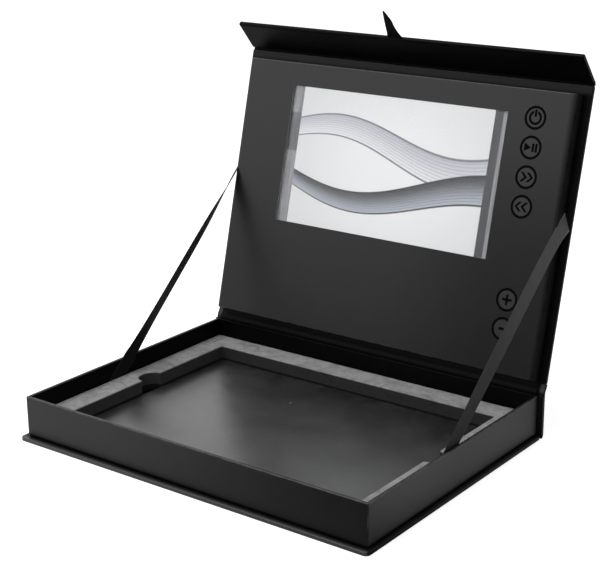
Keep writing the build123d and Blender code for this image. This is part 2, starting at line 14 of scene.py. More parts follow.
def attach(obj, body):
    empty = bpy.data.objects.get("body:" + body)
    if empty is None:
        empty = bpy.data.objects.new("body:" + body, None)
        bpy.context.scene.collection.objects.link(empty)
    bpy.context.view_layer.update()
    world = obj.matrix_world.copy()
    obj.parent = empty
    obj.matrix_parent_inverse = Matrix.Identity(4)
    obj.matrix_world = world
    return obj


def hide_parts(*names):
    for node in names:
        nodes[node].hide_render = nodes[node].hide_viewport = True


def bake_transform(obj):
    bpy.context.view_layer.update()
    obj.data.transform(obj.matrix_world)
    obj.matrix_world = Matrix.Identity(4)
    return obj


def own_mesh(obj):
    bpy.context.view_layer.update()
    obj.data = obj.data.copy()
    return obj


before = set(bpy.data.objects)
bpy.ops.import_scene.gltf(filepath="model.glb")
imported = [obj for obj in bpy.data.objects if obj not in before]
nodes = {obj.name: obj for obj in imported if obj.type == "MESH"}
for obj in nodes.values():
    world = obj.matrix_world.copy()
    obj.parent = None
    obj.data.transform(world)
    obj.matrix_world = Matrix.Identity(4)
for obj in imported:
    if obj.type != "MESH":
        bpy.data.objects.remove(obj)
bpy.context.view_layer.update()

# %% [markdown]
# A piece that Blender makes has to meet the solids exactly, so the few sizes that both need are
# named here once. The lid and the flap lean, so each has directions of its own: along it, away from
# its hinge, and out of its inner face. Both follow from the angle at which it stands.

# %% Sizes that the pieces share
mm = 0.001
board = 2.3 * mm
paper = 0.4 * mm
case_half = 121.6 * mm
tray_half = 119.0 * mm
tray_back = 86.25 * mm
tray_top = 26.3 * mm
inner_half = 117.0 * mm
inner_back = 84.25 * mm
foam_foot = 4.3 * mm
lid_reach = 177.4 * mm
panel_face = 6.5 * mm
lid_opening, flap_fold = 104.4, 55.0
print("The tray is", round(2 * tray_half / mm), "mm wide, its lid open by", lid_opening, "degrees")


# %% Directions of the lid and the flap
def along_at(angle):
    """The direction along a board that stands open: -cos(angle) * Y + sin(angle) * Z."""
    return np.array([0.0, -cos(angle), sin(angle)])


def out_at(angle):
    """The direction out of that board's inner face: -sin(angle) * Y - cos(angle) * Z."""
    return np.array([0.0, -sin(angle), -cos(angle)])


open_angle = radians(lid_opening)
flap_angle = radians(lid_opening - flap_fold)
across = np.array([1.0, 0.0, 0.0])
lid_along, lid_out = along_at(open_angle), out_at(open_angle)
flap_along, flap_out = along_at(flap_angle), out_at(flap_angle)
hinge = np.array([0.0, 87.35, 26.6]) * mm
crease = hinge + lid_reach * lid_along


def lid_point(x, along, out):
    """A point of the lid: hinge + x * across + along * lid_along + out * lid_out."""
    return hinge + x * across + along * lid_along + out * lid_out


def flap_point(x, along, out):
    """A point of the flap: crease + x * across + along * flap_along + out * flap_out."""
    return crease + x * across + along * flap_along + out * flap_out


print("The lid's free edge is", round(float(crease[2]) / mm, 1), "mm above the floor")

# %% [markdown]
# The camera comes first, because everything else is judged through it. A product photographer
# stands well back and uses a long lens, so that the box's sides stay nearly parallel. The camera is
# placed by two angles round the box, its distance from a point that it looks at, and a slight roll.

# %% Camera
azimuth, elevation, roll = 0.6422, 0.308, -0.0078
looked_at = Vector((18.357, 0.0, 96.29)) * mm
distance = 818.84 * mm
sensor_width, focal_length = 36.0, 87.29
backward = Vector((sin(azimuth) * cos(elevation), -cos(azimuth) * cos(elevation), sin(elevation)))
level = (-backward).cross(Vector((0, 0, 1))).normalized()
upright = level.cross(-backward)
rightward = level * cos(roll) + upright * sin(roll)
upward = upright * cos(roll) - level * sin(roll)

camera = bpy.data.objects.new("camera", bpy.data.cameras.new("camera"))
camera.data.sensor_fit = "HORIZONTAL"
camera.data.sensor_width = sensor_width
camera.data.lens = focal_length
camera.matrix_world = Matrix((rightward, upward, backward)).transposed().to_4x4()
camera.matrix_world.translation = looked_at + backward * distance
bpy.context.scene.collection.objects.link(camera)
bpy.context.scene.camera = camera
bpy.context.scene.view_settings.view_transform = "Standard"
print("The camera stands", round(distance, 2), "m away with a lens of", focal_length, "mm")

# %% [markdown]
# A finish is a small program that works out colour, roughness and relief at each point of a
# surface. Drawn by hand it is a web of nodes. Written down it is arithmetic, so a small class wraps
# a socket and lets sums and products add the Math nodes. Any other node comes from one method,
# which takes the node's type, its settings and the values of its sockets.

# %% Arithmetic on shader sockets
class Shade:
    """One output socket of a node. Sums and products of shades and numbers are Math nodes."""

    def __init__(self, socket):
        self.socket = socket

    def math(self, operation, *others):
        values = dict(enumerate((self, *others)))
        return add_node(self.socket.id_data, "ShaderNodeMath", {"operation": operation}, values)

    def __add__(self, other):
        return self.math("ADD", other)

    def __sub__(self, other):
        return self.math("SUBTRACT", other)

    def __mul__(self, other):
        return self.math("MULTIPLY", other)

    def __truediv__(self, other):
        return self.math("DIVIDE", other)

    def __rsub__(self, other):
        return self * -1.0 + other

    def __rtruediv__(self, other):
        return self.math("POWER", -1.0) * other

    __radd__ = __add__
    __rmul__ = __mul__

    def larger(self, other):
        return self.math("MAXIMUM", other)

    def smaller(self, other):
        return self.math("MINIMUM", other)

    def size(self):
        return self.math("ABSOLUTE")

    def wave(self):
        return self.math("SINE")

    def rise(self, low, high):
        """0 at low, 1 at high and a smooth step between them. It falls where low is above high."""
        smooth = {"interpolation_type": "SMOOTHSTEP"}
        values = {"Value": self, "From Min": low, "From Max": high}
        return add_node(self.socket.id_data, "ShaderNodeMapRange", smooth, values)


def add_node(tree, kind, settings=None, values=None, out=0):
    """Adds a node: its settings first, then a number, colour or link for each socket given."""
    node = tree.nodes.new(kind)
    for name, value in (settings or {}).items():
        setattr(node, name, value)
    for key, value in (values or {}).items():
        if isinstance(value, Shade):
            tree.links.new(value.socket, node.inputs[key])
        else:
            node.inputs[key].default_value = value
    return Shade(node.outputs[out]) if node.outputs else None


def rgba(colour):
    """A colour for a socket. A shade stays as it is, and one number is a grey."""
    if isinstance(colour, Shade):
        return colour
    return (*colour, 1.0) if isinstance(colour, (list, tuple)) else (colour, colour, colour, 1.0)


def from_centre(x, y):
    """How far a point lies from a centre, given its two distances: sqrt(x^2 + y^2)."""
    return (x * x + y * y).math("SQRT")


def within(length, half):
    """1 where |length| is less than half, which is in mm, with an edge a tenth of one soft."""
    return length.size().rise((half + 0.05) * mm, (half - 0.05) * mm)


# %% A material in the making
class Finish:
    """A material in the making. Its methods give patterns, and coat() ends it with its shader."""

    def __init__(self, name):
        self.material = bpy.data.materials.new(name)
        self.material.use_nodes = True
        self.tree = self.material.node_tree
        self.tree.nodes.clear()

    def node(self, kind, settings=None, values=None, out=0):
        return add_node(self.tree, kind, settings, values, out)

    def point(self):
        """The surface point in Object coordinates, which move with the piece and its body."""
        return self.node("ShaderNodeTexCoord", out="Object")

    def measured(self, origin, *directions):
        """How far the point lies from an origin along each direction: (point - origin) . d."""
        minus, dot = {"operation": "SUBTRACT"}, {"operation": "DOT_PRODUCT"}
        away = self.node("ShaderNodeVectorMath", minus, {0: self.point(), 1: tuple(origin)})
        return [
            self.node("ShaderNodeVectorMath", dot, {0: away, 1: tuple(direction)}, "Value")
            for direction in directions
        ]

    def on_lid(self):
        """Across, along and out of the lid, from the middle of its hinge."""
        return self.measured(hinge, across, lid_along, lid_out)

    def on_flap(self):
        """Across, along and out of the flap, from the middle of its crease."""
        return self.measured(crease, across, flap_along, flap_out)

    def on_tray(self):
        """X, Y and Z."""
        return self.measured((0, 0, 0), across, (0, 1, 0), (0, 0, 1))

    def noise(self, grain, where=None, detail=3.0, rough=0.55):
        """Cloudy noise around 0.5 with lumps of about this size in metres."""
        values = {"Vector": where or self.point(), "Scale": 1.0 / grain}
        values |= {"Detail": detail, "Roughness": rough}
        return self.node("ShaderNodeTexNoise", None, values)

    def streaks(self, side, along, **own):
        """Noise on stretched coordinates, for marks that are drawn out along a piece."""
        stretched = self.node("ShaderNodeCombineXYZ", None, {"X": side, "Y": along})
        return self.noise(1.0, stretched, **own)

    def mark(self, name):
        """A length that the mesh keeps at each vertex, such as how far along a ribbon it is."""
        return self.node("ShaderNodeAttribute", {"attribute_name": name}, None, "Fac")

    def mix(self, share, first, second):
        """One colour turning into another as share goes from 0 to 1."""
        values = {0: share, 6: rgba(first), 7: rgba(second)}
        return self.node("ShaderNodeMix", {"data_type": "RGBA"}, values, 2)

    def shader(self, colour, roughness, relief=None, depth=0.0, **own):
        """A Principled shader. Relief runs from 0 to 1 and depth is its height in metres."""
        values = {"Base Color": rgba(colour), "Roughness": roughness}
        if relief is not None:
            bump = {"Height": relief, "Distance": depth}
            values["Normal"] = self.node("ShaderNodeBump", None, bump)
        values |= {name.replace("_", " "): value for name, value in own.items()}
        return self.node("ShaderNodeBsdfPrincipled", None, values)

    def over(self, mask, under, upper):
        """The upper shader where mask is 1 and the one under it where mask is 0."""
        return self.node("ShaderNodeMixShader", None, {0: mask, 1: under, 2: upper})

    def close(self, shader):
        """Ends the material with its shader."""
        self.node("ShaderNodeOutputMaterial", None, {"Surface": shader})
        return self.material

    def coat(self, *look, **own):
        """Ends the material with one Principled shader."""
        return self.close(self.shader(*look, **own))


def dress(material, *names):
    """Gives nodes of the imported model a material."""
    for name in names:
        nodes[name].data.materials.clear()
        nodes[name].data.materials.append(material)
    print(material.name, "is on", ", ".join(names))


# %% [markdown]
# Black paper shows mostly what it reflects, so the surround matters more than the lamps. The camera
# and clear glass see it as plain white. A gloss sees it as in a studio: white, but brighter high up
# in front, where a soft box hangs, and dim low down in front, where the room is dark behind the
# camera. The dim part reaches higher towards the right.

# %% Surround
def seen_by(tree, kind):
    """1 for rays of this kind and 0 for the rest."""
    return add_node(tree, "ShaderNodeLightPath", out=f"Is {kind} Ray")


def seen_through(tree):
    """1 for rays from the camera or a glass."""
    return (seen_by(tree, "Camera") + seen_by(tree, "Transmission")).smaller(1.0)


surround = bpy.data.worlds.new("surround")
surround.use_nodes = True
room = surround.node_tree
room.nodes.clear()
heading = add_node(room, "ShaderNodeTexCoord", out="Generated")
to_side, to_back, upward_part = [
    add_node(room, "ShaderNodeSeparateXYZ", None, {0: heading}, part) for part in ("X", "Y", "Z")
]
in_front = (to_back * -1.0).rise(0.2, 0.6)
low = (upward_part * 3.4 - to_side).rise(1.0, 0.7)
high = upward_part.rise(0.08, 0.4)
room_white, room_dim, room_glow = 1.05, 0.98, 0.45
gloss_sees = room_white - in_front * low * room_dim + in_front * high * room_glow
matt_sees = 0.5
not_matt = (seen_through(room) + seen_by(room, "Glossy")).smaller(1.0)
strength = seen_through(room) + seen_by(room, "Glossy") * gloss_sees
strength = strength + (1.0 - not_matt) * matt_sees
white_light = {"Color": rgba(1.0), "Strength": strength}
sky = add_node(room, "ShaderNodeBackground", None, white_light)
add_node(room, "ShaderNodeOutputWorld", None, {"Surface": sky})
bpy.context.scene.world = surround
print("The surround shines with", matt_sees, "on matt surfaces and up to", room_white + room_glow,
      "in a gloss")

# %% [markdown]
# The floor is pale and matt and keeps the box's shadow. A little light of its own lifts it to white
# for the camera, as on a lit table. The tray's front mirrors this floor, and there it is less
# bright: a gloss sees half of that light, and near black in two round parts in front of the box, a
# painted shade that only a gloss sees, which darkens the reflections in the tray's front. Two soft
# lamps add a gentle direction.

# %% Pale floor
floor_tone, gloss_shade_tone = 0.8, 0.02
lift_for_camera, lift_for_gloss = 0.7, 0.35
floor_half = 8.0
pale = Finish("pale_floor")
floor_x, floor_y, _ = pale.on_tray()


def gloss_shade_patch(x, y, edge, full):
    """1 within the full radius round (x, y), 0 beyond the edge and a smooth step between them."""
    return from_centre(floor_x - x, floor_y - y).rise(edge, full)


# Two round patches of painted shade, which only a gloss sees.
gloss_shade_patches = gloss_shade_patch(0.14, -0.24, 0.28, 0.085).larger(gloss_shade_patch(-0.15, -0.7, 0.52, 0.3))
by_gloss = seen_by(pale.tree, "Glossy")
matt = pale.node("ShaderNodeBsdfDiffuse", None, {"Color": rgba(floor_tone)})
lift = seen_through(pale.tree) * lift_for_camera + by_gloss * lift_for_gloss
shining = pale.node("ShaderNodeEmission", None, {"Strength": lift})
lit_floor = pale.node("ShaderNodeAddShader", None, {0: matt, 1: shining})
surface_look = pale.node("ShaderNodeBsdfDiffuse", None, {"Color": rgba(gloss_shade_tone)})
pale.close(pale.over(by_gloss * gloss_shade_patches, lit_floor, surface_look))

corners = [(x, y, 0) for x, y in ((-1, -1), (1, -1), (1, 1), (-1, 1))]
floor_mesh = bpy.data.meshes.new("floor")
floor_mesh.from_pydata(corners, [], [(0, 1, 2, 3)])
floor_mesh.transform(Matrix.Scale(floor_half, 4))
floor_mesh.materials.append(pale.material)
floor = bpy.data.objects.new("floor", floor_mesh)
bpy.context.scene.collection.objects.link(floor)
print("The floor is", 2 * floor_half, "m wide")


# %% Soft lamps
def soft_lamp(name, place, width, power):
    """A square lamp that faces the middle of the open box."""
    lamp = bpy.data.objects.new(name, bpy.data.lights.new(name, "AREA"))
    lamp.data.size = width
    lamp.data.energy = power
    lamp.location = place
    to_box = Vector((0.0, 0.0, 0.1)) - Vector(place)
    lamp.rotation_euler = to_box.to_track_quat("-Z", "Y").to_euler()
    bpy.context.scene.collection.objects.link(lamp)
    print("The", name.replace("_", " "), "is", width, "m wide and has", power, "W")


soft_lamp("overhead_lamp", place=(-0.4, -0.25, 1.3), width=0.8, power=8.0)
soft_lamp("side_lamp", place=(-0.45, -0.5, 0.52), width=0.7, power=1.1)

# %% [markdown]
# Every new piece is a grid of points worked out with numpy, rows by columns, and joined into quads.
# Each row runs back into itself as a ring, such as the outline of a ribbon seen end on. The rows
# either close into a ring too, as round the foam, or the first and the last row get a face each.
# The faces have to point outwards, which the sign of the volume that they enclose tells.

# %% From a grid of points to faces
def ring_quads(rows, columns, ring_rows):
    """Quads between neighbouring points, (r, c), (r, c+1), (r+1, c+1), (r+1, c). Columns wrap
    round, and rows do where ring_rows says so."""
    r = np.arange(rows if ring_rows else rows - 1)[:, None]
    c = np.arange(columns)[None, :]
    below, right = (r + 1) % rows, (c + 1) % columns
    quad = r * columns + c, r * columns + right, below * columns + right, below * columns + c
    return np.stack(quad, -1).reshape(-1, 4)


def volume_inside(points, quads):
    """The volume inside, above 0 where quads a, b, c, d face outwards: the sum of
    a . (b x c + c x d) / 6. End faces are left out, which hardly matters on a long piece."""
    a, b, c, d = points[quads].transpose(1, 0, 2)
    return np.einsum("ij,ij->", a, np.cross(b, c) + np.cross(c, d)) / 6


# %% From faces to a piece
sharp_edge = radians(35.0)


def make_piece(name, grid, finish, replaced, ring_rows=False, marks=None):
    """Makes a closed piece of rings, gives it its finish and lets it stand for the nodes that it
    replaces. Marks are lengths that the mesh keeps at its vertices."""
    rows, columns = grid.shape[:2]
    points = grid.reshape(-1, 3)
    quads = ring_quads(rows, columns, ring_rows)
    volume = volume_inside(points, quads)
    faces = quads.tolist()
    if not ring_rows:
        last_ring = (rows - 1) * columns
        faces += [list(range(columns))[::-1], list(range(last_ring, rows * columns))]
    if volume < 0:
        faces = [face[::-1] for face in faces]
    mesh = bpy.data.meshes.new(name)
    mesh.from_pydata(points.tolist(), [], faces)
    for mark, lengths in (marks or {}).items():
        kept = mesh.attributes.new(mark, "FLOAT", "POINT")
        kept.data.foreach_set("value", lengths.ravel().astype(np.float32))
    mesh.shade_smooth()
    mesh.set_sharp_from_angle(angle=sharp_edge)
    mesh.materials.append(finish)
    piece = bpy.data.objects.new(name, mesh)
    bpy.context.scene.collection.objects.link(piece)
    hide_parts(*replaced)
    print(name, "has", len(faces), "faces and", round(abs(volume) / mm**3, 1), "cubic mm")
    return piece


# %% [markdown]
# Soft-touch paper is black fibre under a matt coat. Close up it is faintly mottled where the coat
# lies thicker, has a fine fibre grain that only shows at a low angle, and is lighter along the
# board's edges and at its corners, partly worn and partly a painted highlight. Wear and highlight
# are worked out from the board's own box: a point is on an edge where two of its three distances to
# the faces are small at once.

# %% Black paper
wrap_tone, wrap_sheen = 0.007, 0.32
lining_tone, lining_sheen = 0.0022, 0.04
wear_and_highlight_reach = 1.1 * mm


def edge_wear_and_highlight(finish, directions, middle, half):
    """A paler edge, partly wear and partly a painted highlight: 1 on the edges of a box and 0
    further in than the reach, the second largest of the three |p - middle| - half, patchy with
    noise."""
    gaps = [(p - m).size() - h for p, m, h in zip(directions(finish), middle, half)]
    largest = gaps[0].larger(gaps[1]).larger(gaps[2])
    least = gaps[0].smaller(gaps[1]).smaller(gaps[2])
    second = gaps[0] + gaps[1] + gaps[2] - largest - least
    return second.rise(-wear_and_highlight_reach, 0.0) * finish.noise(6 * mm).rise(0.35, 0.62)


def paper_finish(name, tone=wrap_tone, sheen=wrap_sheen, satin=0.32,
                 worn_and_lit_edges=None, paler=None, lining_and_shade=None):
    """Matt black paper. A box, given by its directions, middle and half size, makes its edges paler,
    partly worn and partly a painted highlight. Paler is a mask and the grey that it turns to, bare
    board at the window and a painted highlight elsewhere. The last mask picks the faces in the
    deeper black: the lining paper's tone, which is painted shade on ends, corners and faces kept
    from the light."""
    finish = Finish(name)
    mottle = finish.noise(14 * mm, detail=4.0) * 0.5 + finish.noise(1.1 * mm) * 0.5
    cloud = mottle.rise(0.3, 0.7)
    colour = finish.mix(cloud, tone * 0.8, [tone * 1.22, tone * 1.22, tone * 1.26])
    # Paler edges: partly wear, partly a painted highlight.
    if worn_and_lit_edges:
        colour = finish.mix(edge_wear_and_highlight(finish, *worn_and_lit_edges) * 0.6, colour, tone * 2.6 + 0.06)
    # A paler grey: bare board at the window, a painted highlight on the base's front edge and the
    # panel's upper edge.
    if paler:
        mask, grey = paler
        colour = finish.mix(mask(finish), colour, grey)
    fibre = finish.noise(0.22 * mm, detail=2.0) * 0.7 + finish.noise(1.6 * mm) * 0.3
    roughness = mottle * 0.1 + satin
    wrapped = finish.shader(colour, roughness, fibre, 0.02 * mm, Specular_IOR_Level=sheen)
    # The deeper black is the lining paper's tone, and painted shade on ends, corners and faces kept
    # from the light.
    if not lining_and_shade:
        return finish.close(wrapped)
    deep = finish.mix(cloud, lining_tone * 0.7, lining_tone * 1.3)
    deeper = finish.shader(deep, roughness, fibre, 0.03 * mm, Specular_IOR_Level=lining_sheen)
    return finish.close(finish.over(lining_and_shade(finish), wrapped, deeper))


# %% [markdown]
# The same paper looks different from place to place. The lid's and the flap's inner faces are a
# deeper black, and the same deeper black is painted shade on the tray's inner faces, on ends and
# corners that get no light and on faces kept from the light. The base's front edge is a paler grey,
# a painted highlight. Each of these is a mask: a formula that is 1 in that place and 0 elsewhere,
# with a soft edge.

# %% Places on the tray and the base
def inside_tray(finish):
    """1 on the walls' inner faces, below their top edge, and on the back wall's top edge, a painted
    shade. About a third on the right wall's outer face towards the back, which the lid keeps from
    the light, also painted shade."""
    x, y, z = finish.on_tray()
    inwards = (x.size() - inner_half).larger(y.size() - inner_back)
    below_top = z.rise(tray_top - 0.4 * mm, tray_top - 0.9 * mm)
    inner_face = inwards.rise(0.25 * mm, 0.05 * mm) * below_top
    back_edge = y.rise(inner_back - 0.4 * mm, inner_back - 0.2 * mm)
    right_face = x.rise(tray_half - 0.3 * mm, tray_half - 0.1 * mm)
    return inner_face.larger(back_edge).larger(right_face * y.rise(-70 * mm, 10 * mm) * 0.3)


def board_ends(finish):
    """Nearly 1 on the narrow ends of a board, left and right, where no light falls."""
    return finish.on_tray()[0].size().rise(case_half - 1.3 * mm, case_half - 0.6 * mm) * 0.85


def base_shade(finish):
    """Nearly 1 on the base's ends and in the corner between its ledge and the tray's walls."""
    x, y, z = finish.on_tray()
    from_walls = (x.size() - tray_half).larger(-1.0 * y - tray_back)
    ledge = z.rise(board - 0.3 * mm, board - 0.1 * mm)
    return board_ends(finish).larger(from_walls.rise(1.5 * mm, 0.6 * mm) * ledge * 0.9)


def base_front(finish):
    """1 on the base's front edge and on the outer part of its ledge there, where a paler grey is a
    painted highlight.
    """
    return finish.on_tray()[1].rise(-88.2 * mm, -89.4 * mm)


# %% Places on the lid and the flap
def inside_lid(finish):
    """1 on the lid's inner face and its ends, and less near the flap's crease, where the paper is
    left paler as painted light.
    """
    _, along, out = finish.on_lid()
    # Painted light: the paper near the crease stays paler.
    creased = along.rise(170.5 * mm, 173.5 * mm) * 0.35
    return (out.rise(-0.45 * mm, -0.15 * mm) - creased).larger(board_ends(finish))


def inside_flap(finish):
    """1 on the flap's inner face, its free edge and its ends. On the free edge and the ends the
    deeper black is painted shade.
    """
    _, along, out = finish.on_flap()
    inner_face = out.rise(-0.45 * mm, -0.15 * mm)
    return inner_face.larger(along.rise(22.0 * mm, 22.5 * mm)).larger(board_ends(finish))


# %% Wrapped boards and walls
tray_box = Finish.on_tray, (0, 0, 14.3 * mm), (tray_half, tray_back, 12 * mm)
base_box = Finish.on_tray, (0, -2.1 * mm, board / 2), (case_half, 88.35 * mm, board / 2)
lid_box = Finish.on_lid, (0, 91.4 * mm, -board / 2), (case_half, 85.3 * mm, board / 2)
flap_box = Finish.on_flap, (0, 11.8 * mm, -board / 2), (case_half, 11.1 * mm, board / 2)

dress(paper_finish("tray_paper", worn_and_lit_edges=tray_box, lining_and_shade=inside_tray),
      "tray_front_wall", "tray_back_wall", "tray_left_wall", "tray_right_wall")
# The base's front edge gets a painted highlight, and its ends and corners painted shade.
dress(paper_finish("base_paper", worn_and_lit_edges=base_box, lining_and_shade=base_shade, paler=(base_front, 0.05)),
      "base_board")
dress(paper_finish("lid_paper", worn_and_lit_edges=lid_box, lining_and_shade=inside_lid), "lid_board")
dress(paper_finish("flap_paper", worn_and_lit_edges=flap_box, lining_and_shade=inside_flap), "flap_board")
fold_wrap = paper_finish("fold_paper", lining_and_shade=board_ends)
dress(fold_wrap, "spine_board", "base_fold_paper")
lining = paper_finish("lining_paper", lining_tone, lining_sheen)
dress(lining, "flap_liner", "tray_floor_board")

# %% [markdown]
# The panel that carries the screen is wrapped in the same paper, a touch smoother because it is
# stretched over one large flat board. Its window is die-cut after wrapping, so the window's sides
# show the bare grey board.

# %% Panel under the lid
panel_box = Finish.on_lid, (0, 89.15 * mm, 5.75 * mm), (116 * mm, 81.95 * mm, 0.75 * mm)
window_across, window_along = -2.9 * mm, 113.7 * mm
window_half_width, window_half_height = 77.2, 43.05


def panel_shade(finish):
    """Nearly 1 at the panel's right edge, where the wrap rolls over and turns from the light, and
    less in its lower right part, which the ribbon and the tray keep from it."""
    x, along, _ = finish.on_lid()
    lower_right = x.rise(0.0, 90.0 * mm) * along.rise(165.0 * mm, 60.0 * mm) * 0.42
    return (x.rise(111.0 * mm, 115.8 * mm) * 0.85).larger(lower_right)


def window_cut_and_highlight(finish):
    """1 on the window's sides, below the panel's face, where the grey is bare board, and a little on
    the panel's upper edge, where it is a painted highlight.
    """
    x, along, out = finish.on_lid()
    across_window = within(x - window_across, window_half_width)
    up_window = within(along - window_along, window_half_height)
    sides = across_window * up_window * out.rise(panel_face - 0.05 * mm, panel_face - 0.2 * mm)
    # A painted highlight on the panel's upper edge.
    upper_edge = along.rise(170.1 * mm, 170.7 * mm) * out.rise(5.6 * mm, 5.9 * mm) * 0.12
    return sides.larger(upper_edge)


panel_wrap = paper_finish(
    "panel_paper", 0.006, 0.34, satin=0.29, worn_and_lit_edges=panel_box, lining_and_shade=panel_shade,
    paler=(window_cut_and_highlight, 0.3),
)
dress(panel_wrap, "panel_front_board")
dress(fold_wrap, "panel_left_rail", "panel_right_rail", "panel_top_rail", "panel_bottom_rail")

# %% [markdown]
# The cavity's floor is a card with a satin coat. Looked at from above it is an even black. The
# camera looks across it at a low angle, where a smooth coat turns into a soft mirror, which shows
# the white surround on one side and the dark lid on the other. A Layer Weight node tells the two
# apart, and mixes a matt shader seen from above with a glossy and blotchy one seen at a slant.

# %% Satin card on the cavity's floor
card = Finish("satin_card")
card_grain = card.noise(0.5 * mm, detail=2.0) * 0.6 + card.noise(3 * mm) * 0.4
smudge = card.noise(28 * mm, detail=4.0)
blotch = card.noise(6 * mm, detail=5.0, rough=0.7)
blotchy = card.mix((blotch * 0.6 + smudge * 0.4).rise(0.4, 0.6), 0.001, 0.017)
even = card.mix(0.6, blotchy, 0.008)
relief = card_grain, 0.03 * mm
from_above = card.shader(even, smudge * 0.08 + 0.4, *relief, Specular_IOR_Level=0.2)
gloss = {"IOR": 1.9, "Specular_IOR_Level": 0.9}
at_slant = card.shader(blotchy, smudge * 0.08 + 0.27, *relief, **gloss)
slant = card.node("ShaderNodeLayerWeight", None, {"Blend": 0.5}, "Facing").rise(0.3, 0.55)
dress(card.close(card.over(slant, from_above, at_slant)), "cavity_floor_pad")

# %% [markdown]
# The insert is closed-cell foam, knife-cut from a slab. Its top is mid grey, with clouds where it
# was handled, and its cut sides are rougher and darker. The solid's edges are perfectly sharp,
# which foam never is, so a new piece takes its place. Its inner outline, with the two finger
# notches, is matched point by point with its outer one, and a section with rounded shoulders is
# carried round between them.

# %% Outlines of the foam
foam_x, foam_y, foam_top, foam_corner = 116.5 * mm, 83.75 * mm, 15.4 * mm, 0.6 * mm
cavity_x, cavity_y, cavity_corner = 101.1 * mm, 67.8 * mm, 1.0 * mm
notch_radius, notch_set_in = 8.6 * mm, 1.2 * mm
side_points = 70


def half_side(half_width, half_length, corner, notched):
    """Half of a right-hand side, from its lower corner to its middle: a round corner, a straight
    line and then more line or a notch, x = notch centre + r cos t and y = r sin t."""
    turn = np.linspace(-pi / 4, 0, 6)
    corner_x = half_width - corner + corner * np.cos(turn)
    corner_y = -half_length + corner + corner * np.sin(turn)
    widest = np.arccos(notch_set_in / notch_radius)
    line_y = np.linspace(-half_length + corner, -notch_radius * np.sin(widest), side_points)[1:]
    swing = np.linspace(-widest, 0, side_points // 3)[1:]
    end_x = half_width + (notch_radius * np.cos(swing) - notch_set_in if notched else 0 * swing)
    x = np.concatenate([corner_x, np.full_like(line_y, half_width), end_x])
    return np.stack([x, np.concatenate([corner_y, line_y, notch_radius * np.sin(swing)])], 1)


def whole_side(*half):
    """A right-hand side: its half and that half's mirror image, (x, -y)."""
    lower = half_side(*half)
    return np.concatenate([lower, (lower * [1, -1])[::-1][1:-1]])


def outline(half_x, half_y, corner, notched):
    """The whole outline, counterclockwise: right side, back, left side and front. The back is a
    side turned by a quarter, (-y, x), and the last two are the first two turned by half."""
    side = whole_side(half_x, half_y, corner, notched)
    back = whole_side(half_y, half_x, corner, False)
    half = np.concatenate([side, np.stack([-back[:, 1], back[:, 0]], 1)])
    return np.concatenate([half, -half])


inner_line = outline(cavity_x, cavity_y, cavity_corner, True)
outer_line = outline(foam_x, foam_y, foam_corner, False)
print("Each of the foam's outlines has", len(inner_line), "points")


# %% The foam's section
def unevenness(points, lumps, seed):
    """A smooth random height: the mean of nine waves, sin(k . p + phase), each about lumps long."""
    draw = np.random.default_rng(seed)
    headings, phases = draw.uniform(0, 2 * pi, (2, 9))
    lengths = draw.uniform(0.6, 1.7, 9) * lumps
    waves = 2 * pi * np.stack([np.cos(headings), np.sin(headings)]) / lengths
    return np.sin(points @ waves + phases).mean(-1)


shoulder = 0.55 * mm
side_steps, turn_steps, top_steps = 9, 5, 16
side_z = np.linspace(foam_foot, foam_top - shoulder, side_steps)
turn = np.linspace(0, pi / 2, turn_steps + 1)[1:]
to_inside = np.linspace(1, 0, top_steps + 2)[1:-1]
bend_in, bend_z = shoulder * (1 - np.cos(turn)), foam_top - shoulder * (1 - np.sin(turn))
outer, inner = np.ones(side_steps + turn_steps), np.zeros(turn_steps + side_steps)
share = np.concatenate([outer, to_inside, inner])
inset = np.concatenate(
    [0 * side_z, -bend_in, shoulder * (1 - 2 * to_inside), bend_in[::-1], 0 * side_z],
)
height = np.concatenate(
    [side_z, bend_z, np.full(top_steps, foam_top), bend_z[::-1], side_z[::-1]],
)
print("The foam's section has", len(share), "points")

# %% [markdown]
# The section's share says where a point lies between the outlines: 1 is the outer one and 0 the
# inner one. A knife never cuts quite straight, so the cavity's sides move in and out by a tenth of
# a millimetre, and the top, which is the slab's skin, rises and falls by a little more.

# %% The section carried round
span = outer_line - inner_line
width = np.linalg.norm(span, axis=1)[:, None]
outwards = (span / width)[:, None]
plan = inner_line[:, None] + outwards * (share * width + inset)[..., None]
heights = np.broadcast_to(height, (len(plan), len(height)))
on_side = np.stack([plan[..., 0] + plan[..., 1], heights], -1)
cut = 0.1 * mm * unevenness(on_side, 9 * mm, 3)
plan += outwards * (cut * (share < 0.01))[..., None]
top = 0.16 * mm * unevenness(plan, 24 * mm, 7) + 0.05 * mm * unevenness(plan, 6 * mm, 11)
height = height + top * ((height - foam_foot) / (foam_top - foam_foot)) ** 4
foam_grid = np.concatenate([plan, height[..., None]], -1)
print("The foam's top rises and falls by up to", round(float(np.abs(top).max()) / mm, 2), "mm")

# %% [markdown]
# The foam's finish starts with its skin, in two greys with a few thin creases. The cut sides are
# much darker, most of all at the back and at their foot, where no light reaches, and the cells show
# as fine dark dots over everything.

